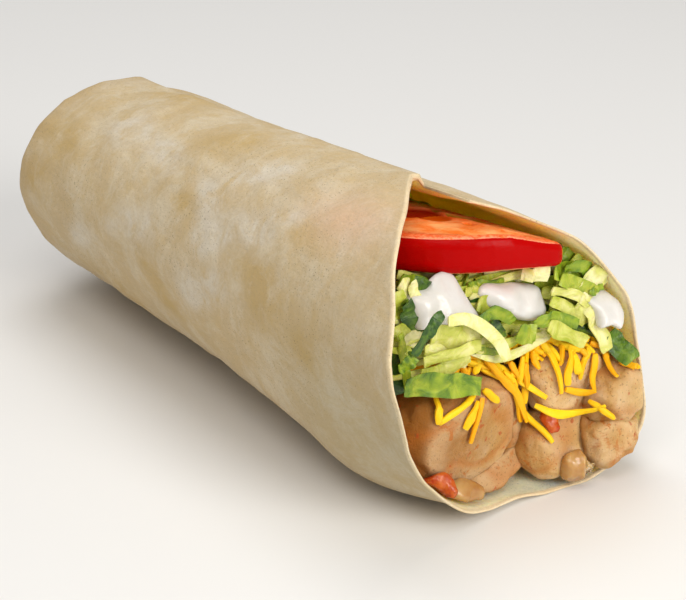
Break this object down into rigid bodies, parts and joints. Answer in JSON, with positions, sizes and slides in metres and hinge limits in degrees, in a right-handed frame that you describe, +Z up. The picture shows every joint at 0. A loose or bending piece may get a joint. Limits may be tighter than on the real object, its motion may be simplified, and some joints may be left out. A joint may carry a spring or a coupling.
{
  "type": "chicken soft taco",
  "caption": "Soft flour tortilla rolled round seasoned chicken, grated cheese, shredded lettuce, tomato and soured cream, shut at one end and open at the other.",
  "frame": {"origin": "under the middle of the whole, on the surface that the taco lies on", "axes": "+Z up; the roll lies along Y, its open mouth towards -Y and its folded end towards +Y"},
  "size_m": [0.0738, 0.1754, 0.0642],
  "materials": {
    "tortilla": "matt, floury, speckled with brown from the griddle",
    "chicken": "moist cooked meat with orange-brown seasoning",
    "cheese": "satin, amber-yellow grated cheese",
    "lettuce": "crisp and slightly glossy, pale ribs to dark green edges",
    "tomato": "glossy wet skin, paler orange-red flesh",
    "sour_cream": "smooth, glossy white",
    "onion": "translucent, glossy",
    "tomato_dice": "wet, glossy red"
  },
  "bodies": {
    "root": {"tortilla": "tortilla", "chicken_left": "chicken", "chicken_round": "chicken", "chicken_middle": "chicken", "chicken_far": "chicken", "chicken_far_low": "chicken", "chicken_slab": "chicken", "chicken_flake": "chicken", "chicken_bed": "chicken", "cheese": "cheese", "lettuce": "lettuce", "tomato_slice": "tomato", "sour_cream_left": "sour_cream", "sour_cream_middle": "sour_cream", "sour_cream_right": "sour_cream", "onion_far": "onion", "onion_near": "onion", "tomato_dice_near": "tomato_dice", "tomato_dice_middle": "tomato_dice"}
  },
  "joints": []
}
